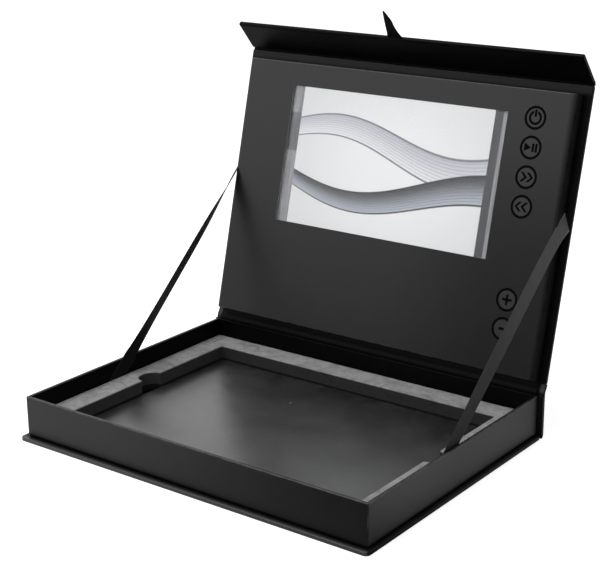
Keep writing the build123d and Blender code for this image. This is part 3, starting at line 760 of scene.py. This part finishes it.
# %% Foam finish and the piece
foam_look = Finish("grey_foam")
_, y, z = foam_look.on_tray()
cell_size = {"Vector": foam_look.point(), "Scale": 1 / (0.55 * mm)}
cells = foam_look.node("ShaderNodeTexVoronoi", None, cell_size, "Distance")
clouds = foam_look.noise(16 * mm, detail=6.0, rough=0.7)
handled = foam_look.noise(5 * mm, detail=4.0, rough=0.65)
skin = foam_look.mix((clouds * 0.6 + handled * 0.4).rise(0.34, 0.66), 0.21, 0.36)
creased = (foam_look.noise(38 * mm, detail=1.0) - 0.5).size().rise(0.022, 0.0)
creased = creased * foam_look.noise(22 * mm, detail=1.0).rise(0.5, 0.6) * handled.rise(0.35, 0.55)
skin = foam_look.mix(creased * 0.55, skin, 0.08)
cut_side = z.rise(foam_top - 0.35 * mm, foam_top - 0.9 * mm)
sawn = foam_look.mix(y.rise(54 * mm, 67 * mm), 0.03, 0.014)
sawn = foam_look.mix((clouds * 0.4 + handled * 0.6).rise(0.42, 0.6) * 0.5, sawn, 0.01)
skin = foam_look.mix(cut_side * 0.95, skin, sawn)
skin = foam_look.mix(z.rise(foam_foot + 3.4 * mm, foam_foot + 2.9 * mm), skin, 0.001)
skin = foam_look.mix(cells.rise(0.5, 0.05) * 0.3, skin, 0.07)
pitted = cells * 0.6 + handled * 0.4
foam_coat = foam_look.coat(skin, 0.85, pitted, 0.12 * mm, Specular_IOR_Level=0.2)
foam = make_piece(
    "foam_insert_cut", foam_grid, foam_coat, ["foam_insert"], ring_rows=True,
)
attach(foam, "base")

# %% [markdown]
# Two ribbons stop the lid. Each is glued flat to the tray's side wall at its foot and turns on its
# way up, until it lies against the lid's edge at its head. A woven ribbon is a thin flat section
# with a slightly thicker selvedge, so one section is carried along a straight path while its
# direction across turns. How wide a ribbon looks from one side is decided by that turn alone.

# %% A flat section along a path
section_points = 28


def ribbon_section(half_thickness, selvedge):
    """A flat rounded outline: a = sgn(cos t) |cos t|^0.3 across and n = sgn(sin t) |sin t|^0.3
    through it, with n grown near a = 1 and a = -1, where the selvedge is."""
    t = np.linspace(0, 2 * pi, section_points, endpoint=False) + pi / section_points
    a = np.sign(np.cos(t)) * np.abs(np.cos(t)) ** 0.3
    n = np.sign(np.sin(t)) * np.abs(np.sin(t)) ** 0.3
    return a, n * half_thickness * (1 + selvedge * (np.abs(a) > 0.86))


def strip(centres, half_across, section):
    """Rings along a path: centre + a * half_across + n * normal, the normal being across x run.
    Marks give each point's distance across the ribbon and along it."""
    a, n = section
    run = np.gradient(centres, axis=0)
    normal = np.cross(half_across, run)
    normal /= np.linalg.norm(normal, axis=1)[:, None]
    rings = centres[:, None] + half_across[:, None] * a[:, None] + normal[:, None] * n[:, None]
    length = np.concatenate([[0], np.linalg.norm(np.diff(centres, axis=0), axis=1).cumsum()])
    marks = {
        "across": np.linalg.norm(half_across, axis=1)[:, None] * a,
        "along": np.broadcast_to(length[:, None], (len(centres), len(a))),
    }
    return rings, marks, length[-1]


# %% [markdown]
# The ribbon is satin woven in ribs. Its finish follows the two marks of the mesh and not the place
# in the room, so the weave bends with the ribbon. The two ribbons are lit and shaded copies of one
# weave: the left one's darker tone and weaker gleam are painted shade, and the right one's brighter
# tone and stronger gleam a painted highlight, which turns to painted shade towards its foot, where
# the lid keeps the light off.

# %% Ribbon weave
rib_pitch, twill_pitch = 0.55 * mm, 0.32 * mm


def ribbon_finish(name, tone, gleam, shaded=False):
    """Satin ribbon: fine ribs across it, sin(2 pi along / pitch), a closer twill on the ribs and a
    plain selvedge. A shaded one loses most of its gleam and darkens towards its foot, a painted
    shade."""
    finish = Finish(name)
    side, along = finish.mark("across"), finish.mark("along")
    rib = (along * (2 * pi / rib_pitch)).wave() * 0.5 + 0.5
    twill = ((along + side * 0.7) * (2 * pi / twill_pitch)).wave() * 0.5 + 0.5
    selvedge = side.size().rise(4.5 * mm, 4.7 * mm)
    weave = (rib * 0.7 + twill * 0.3) * (1 - selvedge) + selvedge * 0.9
    fade = finish.noise(7 * mm).rise(0.3, 0.7)
    light = [tone * 1.3, tone * 1.3, tone * 1.34]
    colour = finish.mix(weave * 0.6 + fade * 0.4, tone * 0.62, light)
    colour = finish.mix(selvedge, colour, tone * 3.5)
    surface_look = weave * -0.12 + 0.56, weave, 0.06 * mm
    gleaming = finish.shader(colour, *surface_look, Specular_IOR_Level=gleam)
    if not shaded:
        return finish.close(gleaming)
    dull_colour = finish.mix(0.85, colour, 0.001)
    dull = finish.shader(dull_colour, *surface_look, Specular_IOR_Level=gleam * 0.15)
    return finish.close(finish.over(along.rise(178 * mm, 26 * mm), gleaming, dull))


# Painted shade on the left ribbon, a painted highlight on the right one.
left_look = ribbon_finish("left_ribbon_weave", 0.005, 0.12)
right_look = ribbon_finish("right_ribbon_weave", 0.024, 0.56, shaded=True)
# The tab's near black tone and faint gleam are painted shade.
tab_look = ribbon_finish("tab_weave", 0.003, 0.03)
print("The ribbons have", round(mm / rib_pitch, 1), "ribs to a millimetre")

# %% [markdown]
# On the real box a ribbon follows both the tray and the lid when the lid closes. It is also wrung:
# two gentle twists, each strongest at a height of its own, narrow it and widen it again as the
# camera sees it. It moves out over the tray's wall only near its head.

# %% Left and right stay ribbons
ribbon_width = 10 * mm
glued_length = 26 * mm
glued_rings, free_rings = 9, 51
off_lid = 0.45 * mm
stay_section = ribbon_section(0.16 * mm, 0.25)


def stay(name, side, foot_y, anchor, head_x, wrings, finish):
    """A ribbon from below the tray's edge to the lid's edge. Its direction across turns from the
    tray's wall to its glued end with share^1.6, and further round its run by the sum of
    angle * sin(pi * share^power) over its wrings. It moves outwards with share^12."""
    rim = np.array([side * (inner_half - 0.2 * mm), foot_y, tray_top])
    upper = lid_point(side * head_x[0], anchor + ribbon_width / 2, off_lid)
    lower = lid_point(side * head_x[1], anchor - ribbon_width / 2, off_lid)
    head = (upper + lower) / 2
    slope = (head - rim) * [0, 1, 1]
    slope /= np.linalg.norm(slope)
    glued = np.linspace(-glued_length, 0, glued_rings)[:-1, None]
    share = np.linspace(0, 1, free_rings)[:, None]
    outwards, turn = share**12, share**1.6
    path = rim + (head - rim) * np.concatenate([outwards, share, share], 1)
    centres = np.concatenate([rim + slope * glued, path])
    turned = np.concatenate([0 * glued * across, np.concatenate([outwards, turn, turn], 1)])
    on_wall = np.cross(across, slope) * ribbon_width
    half_across = (on_wall * (1 - turned) + (upper - lower) * turned) / 2
    run = np.gradient(centres, axis=0)
    run /= np.linalg.norm(run, axis=1)[:, None]
    free_turn = sum(angle * np.sin(pi * share**power) for angle, power in wrings)
    wrung = np.concatenate([0 * glued, free_turn])
    half_across = half_across * np.cos(wrung) + np.cross(run, half_across) * np.sin(wrung)
    rings, marks, length = strip(centres, half_across, stay_section)
    piece = make_piece(name, rings, finish, [name.replace("woven_", "")], marks=marks)
    reach = head - rim
    rim - 0.0889 * reach
    rim + 1.011 * reach
    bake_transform(piece)
    print(name, "is", round(length / mm, 1), "mm long")


left_wrings = (radians(34), 6.0), (radians(18), 0.6)
right_wrings = (radians(-18), 5.0), (radians(-14), 1.4)
left_head, right_head = (117.2 * mm, 120.6 * mm), (116.4 * mm, 121.0 * mm)
stay("woven_ribbon_left", -1, -1.0 * mm, 105.0 * mm, left_head, left_wrings, left_look)
stay("woven_ribbon_right", 1, -6.0 * mm, 99.5 * mm, right_head, right_wrings, right_look)

# %% [markdown]
# At both folds the boards stop short of each other and only paper crosses the gap. On the real box
# that paper swings with the lid, so a stiff solid would tear away from one board or the other. Each
# is made again as a thin sheet whose section is a smooth curve, from the edge of one board to the
# edge of the next.

# %% Curves across a fold
curve_points = 15
paper_stations = 49
ripple_height = 0.05 * mm


def bent(start, start_run, end, end_run):
    """A cubic curve that leaves start along start_run and reaches end along end_run (Hermite)."""
    t = np.linspace(0, 1, curve_points)[:, None]
    return ((1 + 2 * t) * (1 - t) ** 2 * start + t * (1 - t) ** 2 * start_run
            + t * t * (3 - 2 * t) * end + t * t * (t - 1) * end_run)


def arc_round(centre, start, end):
    """The shorter arc round a centre: start turned by t times the angle from start to end."""
    first, last = start - centre, end - centre
    sweep = np.arctan2(first[0] * last[1] - first[1] * last[0], first @ last)
    t = np.linspace(0, sweep, curve_points)
    return centre + np.stack([first[0] * np.cos(t) - first[1] * np.sin(t),
                              first[0] * np.sin(t) + first[1] * np.cos(t)], 1)


def paper_rings(curve, half_width, thickness):
    """A thin sheet: the curve, and the same curve moved by the thickness along its normal, carried
    across. The curve gives Y and Z. Across, the sheet ripples by ripple_height."""
    run = np.gradient(curve, axis=0)
    normal = np.stack([-run[:, 1], run[:, 0]], 1) / np.linalg.norm(run, axis=1)[:, None]
    loop = np.concatenate([curve, (curve + normal * thickness)[::-1]])
    x = np.linspace(-half_width, half_width, paper_stations)
    bow = np.sin(np.linspace(0, pi, len(curve)))[:, None]
    ripple = ripple_height * unevenness(np.stack([x, 0 * x], 1), 25 * mm, 5)
    shift = np.concatenate([normal * bow, (normal * bow)[::-1]])
    rings = np.zeros((paper_stations, len(loop), 3))
    rings[..., 0] = x[:, None]
    rings[..., 1:] = loop + shift * ripple[:, None, None]
    return rings


# %% Papers at the folds
def hinge_curve(start, pull, out):
    """From the tray, upwards, to the lid, this far out of its inner face. Start and pull are in mm,
    and the pull says how straight the paper leaves both."""
    upwards = np.array([0.0, 1.0])
    end = lid_point(0, 6.1 * mm, out)[1:]
    return bent(np.array(start) * mm, upwards * pull * mm, end, lid_along[1:] * pull * mm)


def crease_curve(out):
    """Round the crease from the lid to the flap, this far out of their inner faces."""
    gap = 0.7 * mm
    lid_edge, flap_edge = lid_point(0, lid_reach - gap, out), flap_point(0, gap, out)
    return arc_round(crease[1:], lid_edge[1:], flap_edge[1:])


outside, inside = (paper, fold_wrap, "case_wrap"), (-paper, lining, "lining_paper")
crease_half = case_half - 0.25 * mm
papers = {
    "hinge_paper_outer":
        ("lid_hinge_strip", hinge_curve((88.55, 25.6), 9, -board), case_half, outside),
    "hinge_paper_inner":
        ("lid_hinge_liner", hinge_curve((85.75, 26.3), 8, 0.0), inner_half, inside),
    "crease_paper_outer":
        ("crease_outer_paper", crease_curve(-board), crease_half, outside),
    "crease_paper_inner":
        ("crease_inner_paper", crease_curve(-0.5 * mm), crease_half, inside),
}
for name, (node, curve, half_width, (thickness, finish, slot)) in papers.items():
    bodies = ("base", "lid") if "hinge" in name else ("lid", "flap")
    piece = make_piece(name, paper_rings(curve, half_width, thickness), finish, [node])
    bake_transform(piece)

# %% [markdown]
# The pull tab is a short piece of the same ribbon, glued into the flap's free edge. It flares where
# it leaves the edge, turns, narrows to its end, which is cut on the slant, and curls up. It is too
# short to bend with a joint, and with the lid shut it would stand into the table.

# %% Pull tab
tab_reach, root_width, end_width = 20 * mm, 9.6 * mm, 5.0 * mm
flare_height, flare_length = 0.9 * mm, 1.4 * mm
end_slant = 7.0 * mm
tab_section = ribbon_section(0.4 * mm, 0.1)

tab_share = np.linspace(0, 1, 30)[:, None]
tab_turn = radians(-24.4) * tab_share
tab_side = across * np.cos(tab_turn) + np.cross(flap_along, across) * np.sin(tab_turn)
tab_root = flap_point(-2.3 * mm, 22.9 * mm, -board / 2)
tab_lift = across * 1.0 * mm - flap_out * 1.1 * mm
tab_path = tab_root + flap_along * tab_reach * tab_share + tab_lift * tab_share**2
flare = flare_height * np.exp(-tab_share * tab_reach / flare_length)
tab_half = (root_width + (end_width - root_width) * tab_share) / 2 + flare
tab_rings, tab_marks, tab_length = strip(tab_path, tab_side * tab_half, tab_section)
to_right = (tab_section[0] + 1) / 2
tab_rings -= flap_along * end_slant * (to_right**1.8 * tab_share**2)[..., None]
tab = make_piece("woven_pull_tab", tab_rings, tab_look, ["pull_tab"], marks=tab_marks)
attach(tab, "flap")
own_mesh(tab)
print("The pull tab is", round(tab_length / mm, 1), "mm long")

# %% [markdown]
# Each button is a round cap with its sign pressed in. On the real panel the signs and the ring
# round each cap are printed in a deeper black than the paper. The print is a mask: the ring is the
# cap's outermost zone, a sign's pressed floor is picked out by its height, and its printed shape, a
# little wider, comes from distances to its strokes.

# %% Signs on the buttons
def power_sign(dx, dy, radius):
    """A ring, open at the top, with an upright bar in the opening."""
    opening = within(dx, 1.25) * dy.rise(0.0, 0.1 * mm)
    bar = within(dx, 0.72) * within(dy - 2.67 * mm, 2.1)
    return (within(radius - 3.4 * mm, 0.72) * (1.0 - opening)).larger(bar)


def play_sign(dx, dy, radius):
    """A triangle that points right, and two bars."""
    slope = (dx * -0.588).larger(0.0) + 0.1 * mm
    triangle = (slope - dy.size()).rise(-0.05 * mm, 0.05 * mm) * within(dx + 2.0 * mm, 2.15)
    bars = within((dx - 2.4 * mm).size() - 1.0 * mm, 0.72)
    return triangle.larger(bars * within(dy, 2.5))


def arrows_sign(way):
    """Two open arrow heads, each a band that slopes back by as much as it rises."""
    def sign(dx, dy, radius):
        back = dx * way + dy.size()
        bands = within((back - 1.75 * mm).size() - 1.95 * mm, 0.85)
        return bands * within(dy, 2.8)
    return sign


def level_sign(long, crossed):
    """A level bar, or two crossed ones."""
    def sign(dx, dy, radius):
        bar = within(dy, 0.75) * within(dx, long)
        return bar.larger(within(dx, 0.75) * within(dy, long)) if crossed else bar
    return sign


# Each button: its middle in mm along the lid, and its sign
buttons = {
    "power": (155.0, power_sign),
    "play_pause": (138.0, play_sign),
    "next": (121.0, arrows_sign(1.0)),
    "previous": (104.0, arrows_sign(-1.0)),
    "volume_up": (50.0, level_sign(3.1, True)),
    "volume_down": (33.0, level_sign(2.4, False)),
}
print("There are", len(buttons), "buttons")

# %% Button caps
button_x = 92.0 * mm
for name, (place, sign) in buttons.items():
    cap = Finish(f"{name}_print")
    x, along, out = cap.on_lid()
    dx, dy = x - button_x, along - place * mm
    radius = from_centre(dx, dy)
    ring = radius.rise(5.25 * mm, 5.45 * mm)
    pressed = out.rise(panel_face - 0.06 * mm, panel_face - 0.12 * mm)
    ink = ring.larger(pressed).larger(sign(dx, dy, radius))
    mottle = cap.noise(1.2 * mm)
    colour = cap.mix(mottle.rise(0.3, 0.7), 0.008, 0.011)
    fibre = cap.noise(0.25 * mm, detail=2.0), 0.02 * mm
    bare = cap.shader(colour, mottle * 0.12 + 0.27, *fibre, Specular_IOR_Level=0.36)
    printed = cap.shader(0.0015, mottle * 0.1 + 0.6, *fibre, Specular_IOR_Level=0.03)
    dress(cap.close(cap.over(ink, bare, printed)), f"{name}_cap")

# %% [markdown]
# The screen shows a still picture. Its design is plain: two soft waves on a pale ground, in the
# greys and blue greys of a product film. It is arithmetic too. A wave is a sine, its body is where
# a point lies between the wave and the same wave moved down, and its fine lines are a sine of the
# depth below it. The display's lit area is narrower than the window, so a strip of bare module
# shows at each side.

# %% Waves of the picture
glass = Finish("screen_picture")
x, along, _ = glass.on_lid()
lit_left, lit_right = -72.2 * mm, 65.2 * mm
lit_foot, lit_height = 70.75 * mm, 85.9 * mm
u = (x - lit_left) / (lit_right - lit_left)
v = (along - lit_foot) / lit_height


def wave_body(level, swing, turns, phase, thickness):
    """How deep a point lies under the wave level + swing * sin(turns * u + phase), as a share of
    its thickness, which grows with u."""
    crest = (u * turns + phase).wave() * swing + level
    return (crest - v) / (u * thickness * 0.6 + thickness * 0.7)


def draw_wave(ground, depth, light, dark, line):
    """A shaded body with fine lines along it and a dark edge above and below."""
    body = depth.rise(0.0, 0.015) * depth.rise(1.0, 0.985)
    lines = (depth * 62.0).wave().rise(0.2, 0.9) * 0.3
    fill = glass.mix(depth.rise(0.0, 1.0), light, dark)
    fill = glass.mix(lines, fill, line)
    rim = (depth - 0.03).size().rise(0.06, 0.04).larger((depth - 0.97).size().rise(0.05, 0.03))
    return glass.mix(body, ground, glass.mix(rim * 0.9, fill, line))


off_middle = ((u - 0.55) * (u - 0.55) + (v - 0.5) * (v - 0.5) * 0.6).math("SQRT")
ground = glass.mix(off_middle.rise(0.1, 0.75), [0.86, 0.865, 0.875], [0.69, 0.70, 0.71])
back_wave = wave_body(0.74, 0.10, 5.1, 0.4, 0.20)
back_colours = [0.50, 0.52, 0.58], [0.80, 0.81, 0.84], [0.16, 0.17, 0.2]
front_wave = wave_body(0.43, 0.13, 4.2, 3.4, 0.17)
front_colours = [0.012, 0.014, 0.018], [0.42, 0.45, 0.52], [0.004, 0.0045, 0.006]
picture = draw_wave(ground, back_wave, *back_colours)
picture = draw_wave(picture, front_wave, *front_colours)
print("The lit picture is", round((lit_right - lit_left) / mm, 1), "mm wide")


# %% Bare strips beside the picture
def step_up(length):
    """0 where a length is below 0 and 1 where it is above, with an edge 0.2 mm soft."""
    return length.rise(-0.1 * mm, 0.1 * mm)


lit = step_up(x - lit_left) * step_up(lit_right - x)
streak = glass.streaks(x * 900.0, along * 25.0, detail=2.0)
strip_tone = glass.mix(streak.rise(0.3, 0.7), [0.12, 0.122, 0.13], [0.22, 0.223, 0.235])
inner_bar = (x - 70.6 * mm).rise(0.15 * mm, -0.15 * mm) * step_up(x - lit_right)
strip_tone = glass.mix(inner_bar, strip_tone, [0.02, 0.021, 0.026])
tabbed = (along - 128 * mm).size().rise(12.2 * mm, 11.8 * mm)
tabbed = tabbed * (x - lit_left).rise(0.0, -0.2 * mm)
strip_tone = glass.mix(tabbed * 0.7, strip_tone, [0.03, 0.031, 0.033])
base = glass.mix(lit, strip_tone, 0.01)
shine = {"Emission_Color": glass.mix(lit, 0.0, picture), "Emission_Strength": 0.88}
glass_coat = glass.coat(base, streak * 0.1 + 0.25, Specular_IOR_Level=0.3, **shine)
dress(glass_coat, "screen_glass")

# %% Clear film over the screen
film = Finish("clear_film")
x, along, _ = film.on_lid()
scuffs = film.streaks(x * 400.0, along * 60.0, detail=3.0).rise(0.4, 0.9)
clear = {"Transmission_Weight": 1.0, "IOR": 1.2}
dress(film.coat(0.98, scuffs * 0.12 + 0.05, **clear), "screen_film")

# %% [markdown]
# The rest is hidden while the panel is shut: the screen module, circuit boards, battery, speaker
# and switches. Somebody who lifts the panel in another scene should still find them finished, so
# each gets the grain and colour of its own stuff, from one helper.

# %% Hidden parts
def plain_stuff(name, dark, light, look, *names, stretch=(1, 1, 1), **own):
    """A stuff of two close colours in clouds, stretched where it was drawn or rolled. Look is the
    clouds' size in mm, the roughness and the relief's depth in mm."""
    grain, roughness, depth = look
    finish = Finish(name)
    times = {"operation": "MULTIPLY"}
    place = finish.node("ShaderNodeVectorMath", times, {0: finish.point(), 1: stretch})
    cloud = finish.noise(grain * mm, place)
    colour = finish.mix(cloud.rise(0.3, 0.7), dark, light)
    rough = cloud * 0.15 + roughness
    dress(finish.coat(colour, rough, cloud, depth * mm, **own), *names)


plain_stuff("nickel_plate", [0.42, 0.42, 0.41], [0.56, 0.56, 0.55], (0.6, 0.2, 0.005),
            "tray_magnets", "flap_magnets", "speaker_magnet", Metallic=1.0)
plain_stuff("pressed_pan", [0.44, 0.45, 0.46], [0.6, 0.61, 0.62], (0.8, 0.3, 0.01),
            "screen_pan_frame", stretch=(0.05, 1, 1), Metallic=1.0)
plain_stuff("light_guide_acrylic", [0.78, 0.8, 0.81], [0.88, 0.9, 0.91], (3, 0.12, 0.005),
            "light_guide")
plain_stuff("foam_tape", [0.62, 0.62, 0.59], [0.78, 0.78, 0.75], (0.4, 0.8, 0.05),
            "screen_tapes", "board_tapes")
plain_stuff("amber_film", [0.33, 0.13, 0.02], [0.5, 0.22, 0.05], (0.7, 0.3, 0.01),
            "screen_flex_cable", stretch=(4, 0.2, 0.2))
plain_stuff("solder_mask", [0.012, 0.08, 0.035], [0.025, 0.15, 0.07], (1.1, 0.3, 0.03),
            "main_board", "button_board")
plain_stuff("moulded_epoxy", 0.014, 0.024, (0.3, 0.5, 0.02), "processor_chip", "memory_chip")
plain_stuff("tin_plate", 0.5, [0.64, 0.64, 0.63], (0.5, 0.25, 0.008),
            "charging_socket", Metallic=1.0)
plain_stuff("foil_pouch", [0.5, 0.5, 0.52], [0.66, 0.66, 0.68], (4, 0.3, 0.1),
            "battery_cell", Metallic=1.0)
plain_stuff("wire_sleeve", [0.24, 0.015, 0.015], [0.34, 0.03, 0.03], (0.8, 0.45, 0.01),
            "battery_leads", "speaker_leads")
plain_stuff("speaker_basket_plastic", 0.022, 0.036, (0.5, 0.5, 0.02), "speaker_basket")
plain_stuff("speaker_cone_paper", 0.028, 0.05, (0.7, 0.75, 0.05), "speaker_cone")
plain_stuff("switch_plastic", 0.035, 0.055, (0.4, 0.45, 0.01), "button_switches")
plain_stuff("stem_plastic", 0.02, 0.035, (0.4, 0.45, 0.01), *[f"{name}_stem" for name in buttons])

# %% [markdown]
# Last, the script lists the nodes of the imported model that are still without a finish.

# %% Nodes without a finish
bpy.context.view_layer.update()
bare = [name for name, node in nodes.items() if not (node.hide_render or node.data.materials)]
print("Nodes still without a finish:", sorted(bare) or "none")
